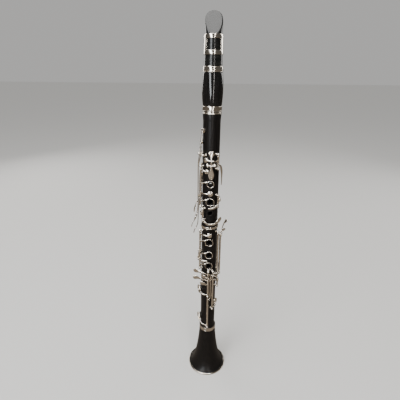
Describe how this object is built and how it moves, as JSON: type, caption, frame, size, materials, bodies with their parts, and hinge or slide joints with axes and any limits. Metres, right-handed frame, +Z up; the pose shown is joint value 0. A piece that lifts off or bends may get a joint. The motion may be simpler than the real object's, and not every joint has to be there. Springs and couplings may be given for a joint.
{
  "type": "clarinet",
  "caption": "B flat clarinet standing on its bell, with sprung plated keys, finger rings, mouthpiece, reed and ligature, and joints that pull apart.",
  "frame": {"origin": "centre of the bell's rim, on the face it stands on", "axes": "+Z up along the bore to the mouthpiece, -Y is the front with the finger holes, +X the player's left"},
  "size_m": [0.076, 0.076, 0.663],
  "materials": {
    "black_wood": "satin, nearly black, with a fine grain along the bore",
    "mouthpiece_rubber": "polished hard rubber, duller on the beak",
    "silver_plate": "polished warm silver plate",
    "steel": "oiled steel rods and plated posts",
    "cane": "pale dry cane with fine fibres",
    "cork": "matt greased cork"
  },
  "bodies": {
    "lower_joint": {"lower_joint": "black_wood", "lower_joint_socket_ring": "silver_plate", "bell_tenon_cork": "cork", "thumb_rest": "silver_plate", "thumb_rest_screw_lower": "silver_plate", "thumb_rest_screw_upper": "silver_plate", "lower_ring_hinge_rod": "steel", "right_sliver_hinge_rod": "steel", "long_hinge_rod": "steel", "f_sharp_hinge_rod": "steel", "a_flat_hinge_rod": "steel", "left_f_sharp_hinge_rod": "steel", "left_e_b_hinge_rod": "steel"},
    "upper_joint": {"upper_joint": "black_wood", "upper_joint_ring": "silver_plate", "middle_tenon_cork": "cork", "upper_tenon_cork": "cork", "thumb_hole_tube": "silver_plate", "register_vent_tube": "silver_plate", "upper_ring_hinge_rod": "steel", "left_sliver_hinge_rod": "steel", "c_sharp_hinge_rod": "steel", "throat_g_sharp_hinge_rod": "steel", "thumb_ring_hinge_rod": "steel", "throat_a_hinge_rod": "steel", "register_hinge_rod": "steel", "trill_hinge_rod": "steel", "side_hinge_rod": "steel"},
    "barrel": {"barrel": "black_wood", "barrel_ring_upper": "silver_plate", "barrel_ring_lower": "silver_plate"},
    "mouthpiece": {"mouthpiece": "mouthpiece_rubber", "mouthpiece_cork": "cork", "reed": "cane"},
    "ligature": {"ligature": "silver_plate"},
    "ligature_screw_upper": {"ligature_screw_upper": "silver_plate"},
    "ligature_screw_lower": {"ligature_screw_lower": "silver_plate"},
    "bell": {"bell": "black_wood", "bell_socket_ring": "silver_plate", "bell_rim_ring": "silver_plate"},
    "upper_ring_key": {"upper_ring_key": "silver_plate"},
    "thumb_ring_key": {"thumb_ring_key": "silver_plate"},
    "lower_ring_key": {"lower_ring_key": "silver_plate"},
    "f_c_key": {"f_c_key": "silver_plate"},
    "e_b_key": {"e_b_key": "silver_plate"},
    "throat_a_key": {"throat_a_key": "silver_plate"},
    "throat_g_sharp_key": {"throat_g_sharp_key": "silver_plate"},
    "register_key": {"register_key": "silver_plate"},
    "side_key_1": {"side_key_1": "silver_plate"},
    "side_key_2": {"side_key_2": "silver_plate"},
    "side_key_3": {"side_key_3": "silver_plate"},
    "side_key_4": {"side_key_4": "silver_plate"},
    "left_sliver_key": {"left_sliver_key": "silver_plate"},
    "c_sharp_g_sharp_key": {"c_sharp_g_sharp_key": "silver_plate"},
    "right_sliver_key": {"right_sliver_key": "silver_plate"},
    "f_sharp_c_sharp_key": {"f_sharp_c_sharp_key": "silver_plate"},
    "a_flat_e_flat_key": {"a_flat_e_flat_key": "silver_plate"},
    "left_f_sharp_lever": {"left_f_sharp_lever": "silver_plate"},
    "left_e_b_lever": {"left_e_b_lever": "silver_plate"}
  },
  "joints": [
    {"name": "middle_joint_slide", "type": "slide", "parent": "lower_joint", "child": "upper_joint", "axis": [0, 0, 1], "range_m": [0, 0.02]},
    {"name": "barrel_slide", "type": "slide", "parent": "upper_joint", "child": "barrel", "axis": [0, 0, 1], "range_m": [0, 0.02]},
    {"name": "mouthpiece_slide", "type": "slide", "parent": "barrel", "child": "mouthpiece", "axis": [0, 0, 1], "range_m": [0, 0.02]},
    {"name": "bell_slide", "type": "slide", "parent": "lower_joint", "child": "bell", "axis": [0, 0, -1], "range_m": [0, 0.02]},
    {"name": "ligature_slide", "type": "slide", "parent": "mouthpiece", "child": "ligature", "axis": [0, 0, 1], "range_m": [0, 0.01]},
    {"name": "ligature_screw_upper_turn", "type": "hinge", "parent": "ligature", "child": "ligature_screw_upper", "pos_m": [0, 0.0172, 0.6287], "axis": [1, 0, 0], "continuous": true},
    {"name": "ligature_screw_lower_turn", "type": "hinge", "parent": "ligature", "child": "ligature_screw_lower", "pos_m": [0, 0.0172, 0.6078], "axis": [1, 0, 0], "continuous": true},
    {"name": "upper_ring_pivot", "type": "hinge", "parent": "upper_joint", "child": "upper_ring_key", "pos_m": [-0.01672, -0.00815, 0.403], "axis": [0, 0, 1], "range_deg": [0, 4.45], "stiffness_Nm_per_rad": 0.03, "springref_deg": -11.46},
    {"name": "thumb_ring_pivot", "type": "hinge", "parent": "upper_joint", "child": "thumb_ring_key", "pos_m": [-0.0104, 0.01542, 0.4005], "axis": [0, 0, 1], "range_deg": [-7.16, 0], "stiffness_Nm_per_rad": 0.03, "springref_deg": 11.46},
    {"name": "lower_ring_pivot", "type": "hinge", "parent": "lower_joint", "child": "lower_ring_key", "pos_m": [-0.01672, -0.00815, 0.2815], "axis": [0, 0, 1], "range_deg": [0, 4.45], "stiffness_Nm_per_rad": 0.03, "springref_deg": -11.46},
    {"name": "f_c_pivot", "type": "hinge", "parent": "lower_joint", "child": "f_c_key", "pos_m": [-0.0013, -0.01855, 0.212], "axis": [0, 0, 1], "range_deg": [-6.9, 0], "stiffness_Nm_per_rad": 0.03, "springref_deg": 11.46},
    {"name": "e_b_pivot", "type": "hinge", "parent": "lower_joint", "child": "e_b_key", "pos_m": [-0.0013, -0.01855, 0.147], "axis": [0, 0, 1], "range_deg": [-6.9, 0], "stiffness_Nm_per_rad": 0.03, "springref_deg": 11.46},
    {"name": "throat_a_pivot", "type": "hinge", "parent": "upper_joint", "child": "throat_a_key", "pos_m": [0, -0.0206, 0.442], "axis": [1, 0, 0], "range_deg": [0, 4.6], "stiffness_Nm_per_rad": 0.03, "springref_deg": -11.46},
    {"name": "throat_g_sharp_pivot", "type": "hinge", "parent": "upper_joint", "child": "throat_g_sharp_key", "pos_m": [0.01119, -0.01486, 0.4475], "axis": [0, 0, 1], "range_deg": [0, 4.9], "stiffness_Nm_per_rad": 0.03, "springref_deg": -11.46},
    {"name": "register_pivot", "type": "hinge", "parent": "upper_joint", "child": "register_key", "pos_m": [0, 0.0186, 0.458], "axis": [-1, 0, 0], "range_deg": [0, 2.4], "stiffness_Nm_per_rad": 0.03, "springref_deg": -11.46},
    {"name": "side_1_pivot", "type": "hinge", "parent": "upper_joint", "child": "side_key_1", "pos_m": [-0.01699, -0.00756, 0.458], "axis": [0.4067, -0.9135, 0], "range_deg": [0, 2.05], "stiffness_Nm_per_rad": 0.03, "springref_deg": -11.46},
    {"name": "side_2_pivot", "type": "hinge", "parent": "upper_joint", "child": "side_key_2", "pos_m": [-0.01699, -0.00756, 0.458], "axis": [0.4067, -0.9135, 0], "range_deg": [0, 2.05], "stiffness_Nm_per_rad": 0.03, "springref_deg": -11.46},
    {"name": "side_3_pivot", "type": "hinge", "parent": "upper_joint", "child": "side_key_3", "pos_m": [-0.01569, 0.00999, 0.383], "axis": [-0.5373, -0.8434, 0], "range_deg": [0, 1.6], "stiffness_Nm_per_rad": 0.03, "springref_deg": -11.46},
    {"name": "side_4_pivot", "type": "hinge", "parent": "upper_joint", "child": "side_key_4", "pos_m": [-0.01569, 0.00999, 0.383], "axis": [-0.5373, -0.8434, 0], "range_deg": [0, 2.3], "stiffness_Nm_per_rad": 0.03, "springref_deg": -11.46},
    {"name": "left_sliver_pivot", "type": "hinge", "parent": "upper_joint", "child": "left_sliver_key", "pos_m": [0.01292, -0.01338, 0.3785], "axis": [0, 0, 1], "range_deg": [-7.5, 0], "stiffness_Nm_per_rad": 0.03, "springref_deg": 11.46},
    {"name": "c_sharp_g_sharp_pivot", "type": "hinge", "parent": "upper_joint", "child": "c_sharp_g_sharp_key", "pos_m": [-0.01269, -0.0136, 0.3535], "axis": [0, 0, 1], "range_deg": [0, 11], "stiffness_Nm_per_rad": 0.03, "springref_deg": -11.46},
    {"name": "right_sliver_pivot", "type": "hinge", "parent": "lower_joint", "child": "right_sliver_key", "pos_m": [-0.01855, -0.0013, 0.2665], "axis": [0, 0, 1], "range_deg": [0, 7.8], "stiffness_Nm_per_rad": 0.03, "springref_deg": -11.46},
    {"name": "f_sharp_c_sharp_pivot", "type": "hinge", "parent": "lower_joint", "child": "f_sharp_c_sharp_key", "pos_m": [0.00756, -0.01699, 0.19675], "axis": [0, 0, 1], "range_deg": [-9, 0], "stiffness_Nm_per_rad": 0.03, "springref_deg": 11.46},
    {"name": "a_flat_e_flat_pivot", "type": "hinge", "parent": "lower_joint", "child": "a_flat_e_flat_key", "pos_m": [0.01642, -0.00873, 0.2118], "axis": [0, 0, 1], "range_deg": [-8, 0], "stiffness_Nm_per_rad": 0.03, "springref_deg": 11.46},
    {"name": "left_f_sharp_pivot", "type": "hinge", "parent": "lower_joint", "child": "left_f_sharp_lever", "pos_m": [0.01505, -0.01093, 0.274], "axis": [0, 0, 1], "range_deg": [0, 8.2], "stiffness_Nm_per_rad": 0.03, "springref_deg": -11.46},
    {"name": "left_e_b_pivot", "type": "hinge", "parent": "lower_joint", "child": "left_e_b_lever", "pos_m": [0.0197, -0.00347, 0.27], "axis": [0, 0, 1], "range_deg": [0, 7.8], "stiffness_Nm_per_rad": 0.03, "springref_deg": -11.46}
  ],
  "couplings": [
    {"joint": "left_f_sharp_pivot", "follows": "f_sharp_c_sharp_pivot", "ratio": -0.884},
    {"joint": "left_e_b_pivot", "follows": "e_b_pivot", "ratio": -1.098}
  ]
}
